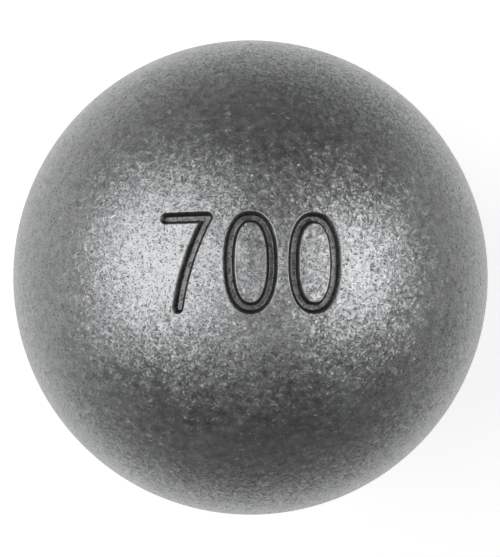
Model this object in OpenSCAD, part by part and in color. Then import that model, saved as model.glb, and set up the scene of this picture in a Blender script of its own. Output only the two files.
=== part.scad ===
// Hollow steel ball for petanque, thrown by hand.
// Two forged half shells are bevelled, joined by one weld at the equator,
// and turned together to a true sphere. The hollow is sealed and empty.
// The origin is the ball's centre, and the weld lies in the XY plane.

/* [Ball] */
// Outside diameter of the finished ball
ball_d = 74; // [70.5:0.5:80]
// Thickness of the steel, from the outside to the hollow
wall_t = 6.11; // [5:0.01:8]

/* [Joint] */
// Gap between the two shells' inner edges, which the root of the weld fills
root_gap = 2; // [1:0.1:3]
// Height of the land, the square stretch at each shell's inner edge
land_h = 1.2; // [0.6:0.1:2.4]
// Slope of each bevel away from the plane of the joint, in degrees
bevel_angle = 25; // [15:1:35]

/* [Root bead] */
// Width of the bead that stands on the hollow's wall
root_bead_w = 4.4; // [3.4:0.1:6]
// Height of that bead above the hollow's wall
root_bead_h = 0.8; // [0.4:0.1:1.4]

/* [Hidden] */

$fn = 180;

// Distance that a cutting shape runs past what it cuts
overrun = 1;

ball_r = ball_d / 2;
hollow_r = ball_r - wall_t;

// Radius at which the land ends and the bevel begins
bevel_start_r = hollow_r + land_h;

// Half the joint's width at a distance past the land
function half_joint(past_land) = root_gap / 2 + past_land * tan(bevel_angle);

// Radius of the arc that is root_bead_w wide and root_bead_h high
root_bead_arc_r = (pow(root_bead_w / 2, 2) + pow(root_bead_h, 2)) / (2 * root_bead_h);

// Half of a ring's section, on the side that a revolve turns round the axis
module right_side(reach) {
    intersection() {
        children();
        translate([0, -reach])
            square([reach, 2 * reach]);
    }
}

// Section through the wall of the whole ball
module wall_section() {
    difference() {
        circle(r = ball_r);
        circle(r = hollow_r);
    }
}

// Section of the joint: square between the lands, and opening outwards between the bevels
module joint_section() {
    outer_r = ball_r + overrun;
    land_half = half_joint(0);
    outer_half = half_joint(outer_r - bevel_start_r);
    polygon([
        [0, -land_half],
        [bevel_start_r, -land_half],
        [outer_r, -outer_half],
        [outer_r, outer_half],
        [bevel_start_r, land_half],
        [0, land_half]
    ]);
}

// Section of the bead that full penetration leaves on the hollow's wall
module root_bead_section() {
    intersection() {
        circle(r = hollow_r);
        translate([hollow_r - root_bead_h + root_bead_arc_r, 0])
            circle(r = root_bead_arc_r);
    }
}

// One half shell, forged as a bowl, with its edge bevelled for the weld
module half_shell() {
    rotate_extrude()
        difference() {
            right_side(ball_r)
                wall_section();
            joint_section();
            translate([-overrun, -ball_r - overrun])
                square([ball_r + 2 * overrun, ball_r + overrun]);
        }
}

module upper_shell() {
    color("dimgray")
        half_shell();
}

module lower_shell() {
    color("dimgray")
        mirror([0, 0, 1])
            half_shell();
}

// The weld: it fills the joint, is turned flush outside, and stands proud inside
module weld_bead() {
    color("slategray")
        rotate_extrude() {
            right_side(ball_r)
                intersection() {
                    wall_section();
                    joint_section();
                }
            root_bead_section();
        }
}

upper_shell();
lower_shell();
weld_bead();
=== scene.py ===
"""A petanque boule: the figures cut in its upper shell, the finish of its steel, its light and its view."""
import math

import bpy
import numpy as np
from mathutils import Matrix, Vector
from mathutils.geometry import delaunay_2d_cdt
from mathutils.kdtree import KDTree


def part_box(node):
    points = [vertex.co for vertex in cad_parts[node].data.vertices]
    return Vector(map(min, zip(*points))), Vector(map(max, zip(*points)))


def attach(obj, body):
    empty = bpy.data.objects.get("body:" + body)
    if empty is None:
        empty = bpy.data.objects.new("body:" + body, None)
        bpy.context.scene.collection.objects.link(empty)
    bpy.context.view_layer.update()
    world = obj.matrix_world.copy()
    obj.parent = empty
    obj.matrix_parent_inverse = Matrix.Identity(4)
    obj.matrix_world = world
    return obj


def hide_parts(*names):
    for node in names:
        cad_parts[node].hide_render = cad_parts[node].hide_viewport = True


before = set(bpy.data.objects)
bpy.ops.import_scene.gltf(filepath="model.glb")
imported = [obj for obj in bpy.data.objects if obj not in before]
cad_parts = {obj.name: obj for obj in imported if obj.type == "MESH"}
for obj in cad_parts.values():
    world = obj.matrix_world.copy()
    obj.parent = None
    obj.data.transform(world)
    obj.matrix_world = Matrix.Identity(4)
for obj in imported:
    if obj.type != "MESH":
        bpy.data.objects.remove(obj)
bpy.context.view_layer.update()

MM = 0.001

# The ball's sizes, read from the frame
shell_low, shell_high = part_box("upper_shell")
shell_points = np.array([vertex.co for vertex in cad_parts["upper_shell"].data.vertices])
shell_reach = np.linalg.norm(shell_points, axis=1)
NEAR = 0.01 * MM
BALL_R = shell_high.z
HOLLOW_R = shell_reach.min()
LAND_Z = shell_low.z
BEVEL_TOP_Z = shell_points[shell_reach > BALL_R - NEAR, 2].min()
WELD_HALF_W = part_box("weld_bead")[1].z
on_land = shell_points[:, 2] < LAND_Z + NEAR
LAND_OUTER_R = np.hypot(shell_points[on_land, 0], shell_points[on_land, 1]).max()

# The photograph's frame and the ball in it, in pixels
PHOTO_W = 500
PHOTO_H = 557
BALL_CENTRE_PX = (250.5, 277.5)
BALL_W_PX = 474.6

# The figures cut at the pole, which give the ball's mass in grams
FIGURES = "700"
FIGURE_H = 13.4 * MM
FIGURE_W = 6.3 * MM
FIGURE_PITCH = 9.5 * MM
ZERO_SQUARENESS = 2.35
SEVEN_FOOT_SHARE = 0.30
SEVEN_BOW = 0.55 * MM

# The groove of a figure, struck with a punch, and the lip of steel that the punch raises beside it
GROOVE_W = 1.75 * MM
GROOVE_FLOOR_W = 0.75 * MM
GROOVE_DEPTH = 0.95 * MM
CORNER_ROUNDING = 0.07 * MM
LIP_H = 0.022 * MM
LIP_REACH = 0.42 * MM

# The steel's finish: sizes, spacings, reaches, lengths and depths in millimetres, the rest as shares.
# A speck starts, and is full, where the grain's noise is this low, its middle being 0.
SHELL_STEEL = (0.475, 0.48, 0.487)
WELD_STEEL = (0.43, 0.437, 0.448)
STEEL_ROUGHNESS = 0.385
GRAIN = {"size": 0.24, "detail": 1, "evenness": 0.5, "tone": 0.6, "roughness": 0.45}
SPECKS = {"start": -0.09, "full": -0.19, "depth": 0.013, "tone": -0.4, "roughness": 0.65}
BLOTCHES = {"size": 1.3, "detail": 2, "evenness": 0.6, "tone": 0.85, "roughness": 0.27}
CLOUDS = {"size": 7.0, "detail": 3, "evenness": 0.6, "tone": 0.25, "roughness": 0.15}
LEAN = {"size": 0.65, "detail": 3, "evenness": 1.0, "amount": 0.42, "patchiness": 1.0}
WARP = 1.5
FACETS = {
    "fine": {"spacing": 0.24, "lean": 0.34},
    "coarse": {"spacing": 0.55, "lean": 0.11},
}
HOLLOWS = {
    "pits": {"spacing": 1.1, "reach": 0.26, "rarity": 3, "depth": 0.03, "tone": -0.7, "roughness": 0.2},
    "dents": {"spacing": 1.1, "reach": 0.42, "rarity": 1, "depth": 0.018, "tone": 0.0, "roughness": 0.0},
    "dings": {"spacing": 3.0, "reach": 0.48, "rarity": 3, "depth": 0.11, "tone": 0.35, "roughness": -0.1},
}
SCRATCH = {
    "spacing": 1.7, "length": 2.2, "half_w": 0.12, "floor_share": 0.3,
    "rarity": 3, "depth": 0.06, "tone": 0.3,
}

# The weld's edge, a fine line where the metals meet, and the steel that its heat has darkened beside it,
# in millimetres and shares
EDGE_LINE_HALF_W, EDGE_LINE_SHADE = 0.14, 0.45
HEAT_REACH, HEAT_SHADE = 2.6, 0.11

# Walls and grooves, which get painted shade, and the hollow, where the steel is darker: their shade, and
# where it starts and is full.
# A wall goes by how far it faces outward, the others by their depth in millimetres.
WALL_PAINTED_SHADE, WALL_STARTS, WALL_FULL = 0.5, 0.93, 0.55
GROOVE_PAINTED_SHADE, GROOVE_STARTS, GROOVE_FULL = 0.55, 0.1, 0.5
HOLLOW_SHADE, HOLLOW_STARTS, HOLLOW_FULL = 0.65, 1.5, 1.6
WALL_ROUGHNESS, HOLLOW_ROUGHNESS = 0.1, 0.2

# How closely the upper shell is meshed: the steps along its rows of points, the gaps between them,
# and the gap under which two points are one
ALONG_STROKE = 0.2 * MM
LEG_POINTS = 40
OVAL_POINTS = 241
END_POINTS = 5
CORNER_SAMPLES = 15
ROW_SLACK = 0.02 * MM
POINT_GAP = 0.03 * MM
SAME_POINT_MM = 1e-6
GROOVE_LINES = 10
FADE_LINES = (1.03 * MM, 1.15 * MM, 1.32 * MM, 1.65 * MM)
OPEN_SPACING = 0.8 * MM
HOLLOW_SPACING = 1.6 * MM
FIGURES_REACH = 20 * MM
ROUND_COUNT = 256
RING_SPACING = 1.2 * MM
SHARP_ANGLE = math.radians(40)


def polyline(points):
    """A stroke through these points, cut again at even steps along its length."""
    points = np.asarray(points, float)
    steps = np.linalg.norm(np.diff(points, axis=0), axis=1)
    along = np.concatenate([[0], np.cumsum(steps)])
    count = max(2, round(along[-1] / ALONG_STROKE) + 1)
    places = np.linspace(0, along[-1], count)
    return np.column_stack([np.interp(places, along, points[:, axis]) for axis in (0, 1)])


def seven(centre):
    """A 7: its bar, and its leg with a slight bow."""
    half_w, half_h = FIGURE_W / 2, FIGURE_H / 2
    corner = np.array([half_w, half_h])
    foot = np.array([-half_w + SEVEN_FOOT_SHARE * FIGURE_W, -half_h])
    down = foot - corner
    across = np.array([-down[1], down[0]]) / np.linalg.norm(down)
    share = np.linspace(0, 1, LEG_POINTS)[:, None]
    arch = 4 * share * (1 - share)
    leg = corner + down * share - across * SEVEN_BOW * arch
    bar = [(-half_w, half_h), (half_w, half_h)]
    return [polyline(centre + np.array(bar)), polyline(centre + leg)]


def zero(centre):
    """A 0: one closed oval with slightly straight sides."""
    angle = np.linspace(0, 2 * math.pi, OVAL_POINTS)
    power = 2 / ZERO_SQUARENESS
    wide = np.sign(np.cos(angle)) * np.abs(np.cos(angle)) ** power * FIGURE_W / 2
    tall = np.sign(np.sin(angle)) * np.abs(np.sin(angle)) ** power * FIGURE_H / 2
    return [polyline(centre + np.column_stack([wide, tall]))]


def figure_strokes():
    """The centre lines of all the figures, flat, with the pole at zero."""
    draw = {"7": seven, "0": zero}
    strokes = []
    for index, figure in enumerate(FIGURES):
        centre = np.array([(index - (len(FIGURES) - 1) / 2) * FIGURE_PITCH, 0])
        strokes += draw[figure](centre)
    return strokes


def distance_to(strokes, points):
    """Distance from each point to the nearest stroke."""
    nearest = np.full(len(points), np.inf)
    for stroke in strokes:
        for start, end in zip(stroke[:-1], stroke[1:]):
            way = end - start
            share = np.clip((points - start) @ way / (way @ way), 0, 1)
            gap = np.linalg.norm(points - start - share[:, None] * way, axis=1)
            np.minimum(nearest, gap, out=nearest)
    return nearest


def groove_depth(distance):
    """Depth at a distance from a centre line: flat floor, steep walls, soft corners and a raised lip."""
    offsets = np.linspace(-CORNER_ROUNDING, CORNER_ROUNDING, CORNER_SAMPLES)
    run = (GROOVE_W - GROOVE_FLOOR_W) / 2
    ramp = (GROOVE_W / 2 - (distance[:, None] + offsets)) / run
    past_edge = np.clip((distance - GROOVE_W / 2) / LIP_REACH, 0, 1)
    lip = LIP_H * (1 - past_edge) ** 2 * (1 + 2 * past_edge)
    return GROOVE_DEPTH * np.clip(ramp, 0, 1).mean(axis=1) - lip


def beside(stroke, gap):
    """Points at one distance from a stroke: along both its sides, and round its ends if it is open."""
    way = np.gradient(stroke, axis=0)
    way /= np.linalg.norm(way, axis=1)[:, None]
    across = np.column_stack([-way[:, 1], way[:, 0]])
    sides = [stroke + gap * across, stroke - gap * across]
    if np.allclose(stroke[0], stroke[-1]):
        return np.vstack(sides)
    count = max(END_POINTS, round(math.pi * gap / ALONG_STROKE))
    turn = np.linspace(-math.pi / 2, math.pi / 2, count + 2)[1:-1, None]
    for end, out, side in ((stroke[0], -way[0], across[0]), (stroke[-1], way[-1], across[-1])):
        sides.append(end + gap * (np.cos(turn) * out + np.sin(turn) * side))
    return np.vstack(sides)


def sunflower(reach, spacing):
    """Points spread evenly over a disc, each the golden angle on from the last."""
    count = int(math.pi * (reach / spacing) ** 2)
    index = np.arange(count) + 0.5
    arc = reach * np.sqrt(index / count)
    angle = index * math.pi * (3 - math.sqrt(5))
    return np.column_stack([arc * np.cos(angle), arc * np.sin(angle)])


def spaced(points, gap):
    """The flat points without those nearer than a gap to one before them."""
    near = KDTree(len(points))
    for index, point in enumerate(points):
        near.insert((*point, 0), index)
    near.balance()
    kept = np.full(len(points), True)
    for index, point in enumerate(points):
        if kept[index]:
            twins = [other for _, other, _ in near.find_range((*point, 0), gap) if other > index]
            kept[twins] = False
    return points[kept]


def figures_mesh_points(strokes):
    """Flat points of the skin round the pole: rows that follow each groove, and open steel between them."""
    floor = GROOVE_FLOOR_W / 2 - CORNER_ROUNDING
    edge = GROOVE_W / 2 + CORNER_ROUNDING
    lines = [floor / 2, *np.linspace(floor, edge, GROOVE_LINES), *FADE_LINES]
    rows = list(strokes)
    for gap in lines:
        for stroke in strokes:
            row = beside(stroke, gap)
            rows.append(row[distance_to(strokes, row) > gap - ROW_SLACK])
    open_steel = sunflower(FIGURES_REACH - OPEN_SPACING / 2, OPEN_SPACING)
    clear = distance_to(strokes, open_steel) > FADE_LINES[-1] + OPEN_SPACING / 2
    return spaced(np.vstack([*rows, open_steel[clear]]), POINT_GAP)


def circle(reach):
    """One ring of flat points."""
    angle = np.arange(ROUND_COUNT) * 2 * math.pi / ROUND_COUNT
    return reach * np.column_stack([np.cos(angle), np.sin(angle)])


def wrap(flat, radius):
    """Flat points laid on a ball: arc lengths from the pole are measured on the outer skin."""
    angle = np.linalg.norm(flat, axis=1) / BALL_R
    sideways = flat / BALL_R * np.sinc(angle / math.pi)[:, None]
    return np.column_stack([sideways, np.cos(angle)]) * np.reshape(radius, (-1, 1))


class Skin:
    """The vertices and faces of one closed piece, gathered as it is built."""

    def __init__(self):
        self.points = []
        self.faces = []

    def add(self, points):
        """Adds vertices and gives their numbers."""
        first = len(self.points)
        self.points.extend(tuple(point) for point in points)
        return list(range(first, len(self.points)))

    def bridge(self, ring, after):
        """Faces between two rings of equal count."""
        for here, there in zip(range(len(ring)), [*range(1, len(ring)), 0]):
            self.faces.append((ring[here], after[here], after[there], ring[there]))

    def cap(self, flat, radius_at, reach, outward):
        """Triangles over a disc of flat points, laid on the ball. Gives the ring at the disc's edge."""
        edge = circle(reach)
        flat = np.vstack([edge, flat]) / MM
        flat = [Vector(point) for point in flat]
        corners, _, triangles, *_ = delaunay_2d_cdt(flat, [], [], 0, SAME_POINT_MM)
        flat = np.array(corners) * MM
        index = self.add(wrap(flat, radius_at(flat)))
        turn = 1 if outward else -1
        self.faces.extend(tuple(index[corner] for corner in face[::turn]) for face in triangles)
        return index[:ROUND_COUNT]

    def make(self, name):
        """The piece itself, smooth but for its sharp edges."""
        mesh = bpy.data.meshes.new(name)
        mesh.from_pydata(self.points, [], self.faces)
        mesh.polygons.foreach_set("use_smooth", [True] * len(mesh.polygons))
        mesh.set_sharp_from_angle(angle=SHARP_ANGLE)
        piece = bpy.data.objects.new(name, mesh)
        bpy.context.scene.collection.objects.link(piece)
        return piece


def rings_between(skin, ring, radius, start, stop):
    """Rings on a ball from one polar arc to another, each bridged to the one before."""
    count = max(1, round(abs(stop - start) / RING_SPACING))
    for arc in np.linspace(start, stop, count + 1)[1:]:
        after = skin.add(wrap(circle(arc), radius))
        skin.bridge(ring, after)
        ring = after
    return ring


def engraved_shell():
    """The upper shell: outer skin with the figures, bevel, land, and the hollow's wall."""
    strokes = figure_strokes()
    skin = Skin()

    def outer_radius(flat):
        return BALL_R - groove_depth(distance_to(strokes, flat))

    ring = skin.cap(figures_mesh_points(strokes), outer_radius, FIGURES_REACH, outward=True)
    edge_arc = math.acos(BEVEL_TOP_Z / BALL_R) * BALL_R
    ring = rings_between(skin, ring, BALL_R, FIGURES_REACH, edge_arc)

    def level_ring(reach, height):
        return skin.add(np.column_stack([circle(reach), np.full(ROUND_COUNT, height)]))

    land_outer = level_ring(LAND_OUTER_R, LAND_Z)
    skin.bridge(ring, land_outer)
    hollow_edge_arc = math.acos(LAND_Z / HOLLOW_R) * BALL_R
    hollow_edge = skin.add(wrap(circle(hollow_edge_arc), HOLLOW_R))
    skin.bridge(land_outer, hollow_edge)
    ring = rings_between(skin, hollow_edge, HOLLOW_R, hollow_edge_arc, FIGURES_REACH + RING_SPACING)
    inner = skin.cap(
        sunflower(FIGURES_REACH - HOLLOW_SPACING / 2, HOLLOW_SPACING),
        lambda flat: np.full(len(flat), HOLLOW_R), FIGURES_REACH, outward=False)
    skin.bridge(ring, inner)
    return skin.make("upper_shell_engraved")


# The middle of what a noise or a cell gives
MIDDLE = 0.5


def signs(operation):
    """An arithmetic sign and its reflected form, as Math nodes."""
    def forward(self, other):
        return self.shader.maths(operation, self, other)

    def reflected(self, other):
        return self.shader.maths(operation, other, self)

    return forward, reflected


class Value:
    """What a shader node gives, which Python's arithmetic signs work on."""

    __add__, __radd__ = signs("ADD")
    __sub__, __rsub__ = signs("SUBTRACT")
    __mul__, __rmul__ = signs("MULTIPLY")

    def __init__(self, shader, socket):
        self.shader = shader
        self.socket = socket


class Node:
    """A shader node, whose outputs are read by name."""

    def __init__(self, shader, node):
        self.shader = shader
        self.node = node

    def __getitem__(self, output):
        return Value(self.shader, self.node.outputs[output])


class Shader:
    """The node tree of one material, or of the room."""

    def __init__(self, owner):
        self.owner = owner
        self.owner.use_nodes = True
        self.tree = self.owner.node_tree
        self.tree.nodes.clear()

    def node(self, kind, settings=None, inputs=None):
        """Any node, from its settings and the values or links of its sockets."""
        made = self.tree.nodes.new("ShaderNode" + kind)
        for name, setting in (settings or {}).items():
            setattr(made, name, setting)
        for name, value in (inputs or {}).items():
            if isinstance(value, Value):
                self.tree.links.new(value.socket, made.inputs[name])
            else:
                made.inputs[name].default_value = value
        return Node(self, made)

    def maths(self, operation, first, second=0.0):
        """A sum on numbers."""
        return self.node("Math", {"operation": operation}, {0: first, 1: second})["Value"]

    def vector(self, operation, first, second=None, scale=None):
        """A sum on vectors or colours."""
        inputs = {0: first}
        if second is not None:
            inputs[1] = second
        if scale is not None:
            inputs["Scale"] = scale
        gives = "Value" if operation in ("LENGTH", "DOT_PRODUCT") else "Vector"
        return self.node("VectorMath", {"operation": operation}, inputs)[gives]

    def noise(self, place, layer):
        """Soft random values: lumps of one size, with finer ones in them that are as strong at evenness 1."""
        return self.node("TexNoise", {"noise_dimensions": "3D"}, {
            "Vector": place,
            "Scale": 1 / layer["size"],
            "Detail": layer["detail"],
            "Roughness": layer["evenness"],
        })

    def lumps(self, place, layer):
        """A noise about zero."""
        return self.noise(place, layer)["Fac"] - MIDDLE

    def random_way(self, colour):
        """A random colour turned into a small step in a random direction."""
        return self.vector("SUBTRACT", colour, (MIDDLE, MIDDLE, MIDDLE))

    def cells(self, place, spacing):
        """Random points about this far apart."""
        return self.node("TexVoronoi", {"feature": "F1"}, {"Vector": place, "Scale": 1 / spacing})

    def ramp(self, value, none, full):
        """0 at one value and 1 at the other, smooth between."""
        inputs = {"Value": value, "From Min": none, "From Max": full}
        return self.node("MapRange", {"interpolation_type": "SMOOTHSTEP"}, inputs)["Result"]

    def tint(self, colour, tone):
        """A colour made lighter or darker."""
        return self.vector("SCALE", colour, scale=tone)

    def finish(self, surface, output="OutputMaterial"):
        """The material or the room, with its surface linked to its output."""
        self.node(output, inputs={"Surface": surface})
        return self.owner


def paint(piece, material):
    """One material over a whole piece."""
    piece.data.materials.clear()
    piece.data.materials.append(material)


def ball_steel(name, base):
    """Satin steel, tumbled with grit. Its pattern is measured in millimetres from the ball's centre."""
    shader = Shader(bpy.data.materials.new(name))
    place = shader.vector("SCALE", shader.node("TexCoord")["Object"], scale=1 / MM)
    outward = shader.vector("NORMALIZE", place)
    ways = shader.random_way(shader.noise(place, LEAN)["Color"])
    warped = shader.vector("ADD", place, shader.vector("SCALE", ways, scale=WARP))
    blotches = shader.lumps(place, BLOTCHES)

    tone, rough, height = tumbled(shader, place, blotches)
    scratch = scratches(shader, place, outward)
    tone = tone + SCRATCH["tone"] * scratch
    height = height - SCRATCH["depth"] * scratch
    for hollow in HOLLOWS.values():
        bowl = bowls(shader, warped, hollow)
        tone = tone * (1 + hollow["tone"] * bowl)
        rough = rough + hollow["roughness"] * bowl
        height = height - hollow["depth"] * bowl
    # Painted shade on steep walls and down in the grooves, and the darker steel of the hollow
    shade, matt = painted_shade_and_roughness_in_recesses(shader, place, outward)
    tone = tone * shade * weld_shade(shader, place)

    leaning = leaning_skin(shader, ways, warped, blotches)
    bump = shader.node("Bump", inputs={"Strength": 1.0, "Distance": MM, "Height": height, "Normal": leaning})
    surface = shader.node("BsdfPrincipled", inputs={
        "Base Color": shader.tint(base, tone),
        "Metallic": 1.0,
        "Roughness": rough + matt,
        "Normal": bump["Normal"],
    })
    return shader.finish(surface["BSDF"])


def tumbled(shader, place, blotches):
    """The tone, roughness and height of open steel, with its grain, blotches, clouds and dark specks."""
    grain = shader.lumps(place, GRAIN)
    clouds = shader.lumps(place, CLOUDS)
    tone = 1
    rough = STEEL_ROUGHNESS
    for layer, lumps in ((GRAIN, grain), (BLOTCHES, blotches), (CLOUDS, clouds)):
        tone = tone + layer["tone"] * lumps
        rough = rough + layer["roughness"] * lumps
    specks = shader.ramp(grain, SPECKS["start"], SPECKS["full"])
    tone = tone * (1 + SPECKS["tone"] * specks)
    rough = rough + SPECKS["roughness"] * specks
    return tone, rough, -SPECKS["depth"] * specks


def painted_shade_and_roughness_in_recesses(shader, place, outward):
    """Painted shade on walls and down in the grooves, darker steel inside the ball, and how much rougher
    walls and the inside are.
    """
    depth = BALL_R / MM - shader.vector("LENGTH", place)
    facing = shader.vector("DOT_PRODUCT", shader.node("NewGeometry")["Normal"], outward)
    # Steep walls and the grooves' depth are darkened as painted shade; the hollow is darker steel
    wall = shader.ramp(facing, WALL_STARTS, WALL_FULL)
    struck = shader.ramp(depth, GROOVE_STARTS, GROOVE_FULL)
    inside = shader.ramp(depth, HOLLOW_STARTS, HOLLOW_FULL)
    shade = (1 - WALL_PAINTED_SHADE * wall) * (1 - GROOVE_PAINTED_SHADE * struck) * (1 - HOLLOW_SHADE * inside)
    return shade, WALL_ROUGHNESS * wall + HOLLOW_ROUGHNESS * inside


def weld_shade(shader, place):
    """How dark the steel is along the weld's edges, in the weld and in the heated band beside it."""
    from_equator = shader.maths("ABSOLUTE", shader.node("SeparateXYZ", inputs={"Vector": place})["Z"])
    from_weld = from_equator - WELD_HALF_W / MM
    edge_line = shader.ramp(shader.maths("ABSOLUTE", from_weld), EDGE_LINE_HALF_W, 0)
    heated = shader.ramp(from_weld, HEAT_REACH, 0)
    return (1 - EDGE_LINE_SHADE * edge_line) * (1 - HEAT_SHADE * heated)


def leaning_skin(shader, ways, warped, blotches):
    """The way that the skin faces, which leans at random, and most where the blotches are pale."""
    sideways = shader.vector("SCALE", ways, scale=LEAN["amount"])
    sideways = shader.vector("ADD", sideways, facets(shader, warped))
    sideways = shader.vector("SCALE", sideways, scale=1 + LEAN["patchiness"] * blotches)
    leaning = shader.vector("ADD", shader.node("NewGeometry")["Normal"], sideways)
    return shader.vector("NORMALIZE", leaning)


def facets(shader, place):
    """The leans of small flat facets, fine and coarse, one in each cell."""
    lean = (0, 0, 0)
    for facet in FACETS.values():
        way = shader.random_way(shader.cells(place, facet["spacing"])["Color"])
        lean = shader.vector("ADD", lean, shader.vector("SCALE", way, scale=facet["lean"]))
    return lean


def bowls(shader, place, hollow):
    """Hollows of many depths, one in each cell: 1 at the bottom of the deepest, 0 on open steel."""
    cells = shader.cells(place, hollow["spacing"])
    away = cells["Distance"] * (hollow["spacing"] / hollow["reach"])
    chance = shader.node("SeparateColor", inputs={"Color": cells["Color"]})["Red"]
    return shader.maths("MAXIMUM", 1 - away * away, 0) * shader.maths("POWER", chance, hollow["rarity"])


def scratches(shader, place, outward):
    """Short straight scratches along the skin, one in each cell, of which only a few are deep."""
    cells = shader.cells(place, SCRATCH["spacing"])
    centre = shader.vector("SCALE", cells["Position"], scale=SCRATCH["spacing"])
    offset = shader.vector("SUBTRACT", place, centre)
    way = shader.random_way(cells["Color"])
    across = shader.vector("NORMALIZE", shader.vector("CROSS_PRODUCT", outward, way))
    along = shader.vector("CROSS_PRODUCT", outward, across)
    aside = shader.maths("ABSOLUTE", shader.vector("DOT_PRODUCT", offset, across))
    ahead = shader.maths("ABSOLUTE", shader.vector("DOT_PRODUCT", offset, along))
    narrow = shader.ramp(aside, SCRATCH["half_w"], SCRATCH["floor_share"] * SCRATCH["half_w"])
    chance = shader.node("SeparateColor", inputs={"Color": cells["Color"]})["Green"]
    deep = shader.maths("POWER", chance, SCRATCH["rarity"])
    return narrow * shader.ramp(ahead, SCRATCH["length"] / 2, 0) * deep


# The studio's floor, in metres and shares. Its greys are a painted pool of light, round a middle off to one
# side, and the light that the camera and the steel see on it is a painted glow: white near the ball, faded in
# its painted shadow, grey far away.
FLOOR_REACH = 6.0
PAPER_ROUGHNESS = 0.9
# A painted pool of light: the paper is pale near its middle and greyer further off
FLOOR_GREY, FLOOR_FAR_GREY = 0.82, 0.24
FLOOR_NEAR, FLOOR_FAR = 168 * MM, 448 * MM
PAINTED_POOL_MIDDLE, PAINTED_POOL_STRETCH = (-101 * MM, 42 * MM, 0), (1, 2.28, 1)
# A painted glow: white round the ball, faded out towards where it rests as a painted shadow, and grey far
# away
WHITE_NEAR, WHITE_FAR, WHITE = 57 * MM, 109 * MM, 0.6
SHADOW_NEAR, SHADOW_FAR = 8 * MM, 39 * MM
DISTANCE_NEAR, DISTANCE_FAR, DISTANCE_GREY = 0.16, 0.9, 0.24

# The lights, in metres. Their directions are degrees to the right of the zenith, and degrees back from there.
BOX_DISTANCE = 0.40
BOXES = {
    "left_box": {"right": -41.3, "back": 3.4, "w": 0.458, "d": 0.457, "radiance": 1.91},
    "right_box": {"right": 48.7, "back": 1.0, "w": 0.305, "d": 0.234, "radiance": 2.89},
}

# The room that the steel mirrors between the lights: its greys, and two faint glows that fade out at their
# reach, in degrees
ROOM_GREY = 0.037
HORIZON_GREY, HORIZON_TOP = 0.02, 0.25
GLOWS = {
    "front_glow": {"right": 0, "back": -33, "reach": 20, "grey": 0.57},
    "back_glow": {"right": -36, "back": 63, "reach": 31, "grey": 0.13},
}


def direction(right, back):
    """The way from the ball to a light."""
    right, back = math.radians(right), math.radians(back)
    return Vector((math.sin(right) * math.cos(back), math.sin(back), math.cos(right) * math.cos(back)))


def soft_box(name, right, back, w, d, radiance):
    """A soft oblong light above the ball on one side, turned to it."""
    light = bpy.data.lights.new(name, "AREA")
    light.shape = "RECTANGLE"
    light.size = d
    light.size_y = w
    light.energy = radiance * math.pi * d * w
    lamp = bpy.data.objects.new(name, light)
    place = direction(right, back) * BOX_DISTANCE
    lamp.location = place
    lamp.rotation_euler = (-place).to_track_quat("-Z", "X").to_euler()
    bpy.context.scene.collection.objects.link(lamp)


def room():
    """A dim room, darker at the horizon, with its glows."""
    shader = Shader(bpy.data.worlds.new("room"))
    way = shader.node("TexCoord")["Generated"]
    rise = shader.node("SeparateXYZ", inputs={"Vector": way})["Z"]
    grey = ROOM_GREY + (HORIZON_GREY - ROOM_GREY) * shader.ramp(rise, HORIZON_TOP, 0)
    for glow in GLOWS.values():
        nearness = shader.vector("DOT_PRODUCT", way, direction(glow["right"], glow["back"]))
        grey = grey + glow["grey"] * shader.ramp(nearness, math.cos(math.radians(glow["reach"])), 1)
    background = shader.node("Background", inputs={"Color": grey})
    bpy.context.scene.world = shader.finish(background["Background"], "OutputWorld")


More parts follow.
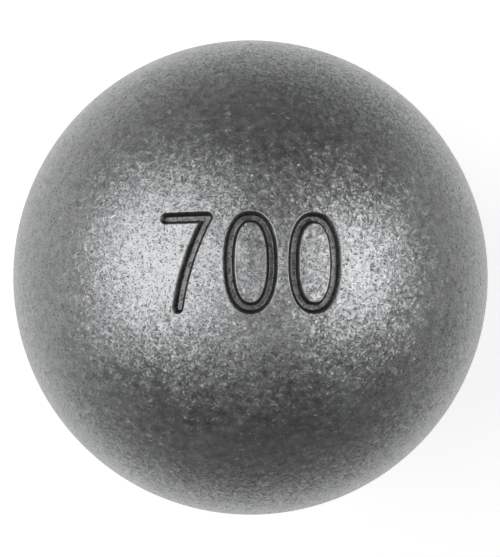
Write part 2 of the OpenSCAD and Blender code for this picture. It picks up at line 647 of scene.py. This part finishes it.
def pale_floor():
    """Pale paper with a painted pool of light, and a painted glow that the camera and the steel see white
    round the ball, faded out under it as a painted shadow.
    """
    shader = Shader(bpy.data.materials.new("pale_floor"))
    place = shader.vector("SUBTRACT", shader.node("NewGeometry")["Position"], (0, 0, -BALL_R))
    away = shader.vector("LENGTH", place)
    # Painted pool of light: pale round an off-centre middle, greyer further off
    oval = shader.vector("MULTIPLY", shader.vector("SUBTRACT", place, PAINTED_POOL_MIDDLE), PAINTED_POOL_STRETCH)
    grey = shader.ramp(shader.vector("LENGTH", oval), FLOOR_FAR, FLOOR_NEAR)
    grey = FLOOR_FAR_GREY + (FLOOR_GREY - FLOOR_FAR_GREY) * grey
    ray = shader.node("LightPath")
    seen = ray["Is Camera Ray"] + ray["Is Glossy Ray"] + ray["Is Transmission Ray"]
    seen = shader.maths("MINIMUM", seen, 1)
    # Painted glow, white round the ball and faded out near where it rests as a painted shadow
    painted_glow = WHITE * shader.ramp(away, WHITE_FAR, WHITE_NEAR) * shader.ramp(away, SHADOW_NEAR, SHADOW_FAR)
    painted_glow = painted_glow + DISTANCE_GREY * shader.ramp(away, DISTANCE_NEAR, DISTANCE_FAR)
    surface = shader.node("BsdfPrincipled", inputs={
        "Base Color": grey,
        "Roughness": PAPER_ROUGHNESS,
        "Specular IOR Level": 0.0,
        "Emission Color": seen * painted_glow,
        "Emission Strength": 1.0,
    })
    return shader.finish(surface["BSDF"])


def studio_floor():
    """The flat floor that the ball lies on."""
    mesh = bpy.data.meshes.new("floor")
    corners = [(x * FLOOR_REACH, y * FLOOR_REACH, -BALL_R) for x, y in ((-1, -1), (1, -1), (1, 1), (-1, 1))]
    mesh.from_pydata(corners, [], [(0, 1, 2, 3)])
    floor = bpy.data.objects.new("floor", mesh)
    bpy.context.scene.collection.objects.link(floor)
    paint(floor, pale_floor())


# The camera: its lens and sensor in millimetres, and the pole's place in pixels
LENS = 200.0
SENSOR = 36.0
NEAREST_SEEN = 10 * MM
POLE_ABOVE_CENTRE_PX = 14.3


def camera():
    """A long lens that looks down on the ball, nearly along its axis."""
    data = bpy.data.cameras.new("camera")
    data.lens = LENS
    data.sensor_width = SENSOR
    data.sensor_fit = "AUTO"
    long_side = max(PHOTO_W, PHOTO_H)
    half_angle = math.atan(BALL_W_PX / long_side * SENSOR / 2 / LENS)
    distance = BALL_R / math.sin(half_angle)
    tilt = math.asin(POLE_ABOVE_CENTRE_PX / (BALL_W_PX / 2))
    back = Vector((0, -math.sin(tilt), math.cos(tilt)))
    data.shift_x = (PHOTO_W / 2 - BALL_CENTRE_PX[0]) / long_side
    data.shift_y = (BALL_CENTRE_PX[1] - PHOTO_H / 2) / long_side
    data.clip_start = NEAREST_SEEN
    eye = bpy.data.objects.new("camera", data)
    eye.location = back * distance
    eye.rotation_euler = (-back).to_track_quat("-Z", "Y").to_euler()
    bpy.context.scene.collection.objects.link(eye)
    bpy.context.scene.camera = eye


camera()
room()
studio_floor()
for name, box in BOXES.items():
    soft_box(name, **box)
bpy.context.scene.view_settings.view_transform = "Standard"

upper = engraved_shell()
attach(upper, "root")
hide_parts("upper_shell")
shell_steel = ball_steel("shell_steel", SHELL_STEEL)
paint(upper, shell_steel)
paint(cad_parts["lower_shell"], shell_steel)
paint(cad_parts["weld_bead"], ball_steel("weld_steel", WELD_STEEL))
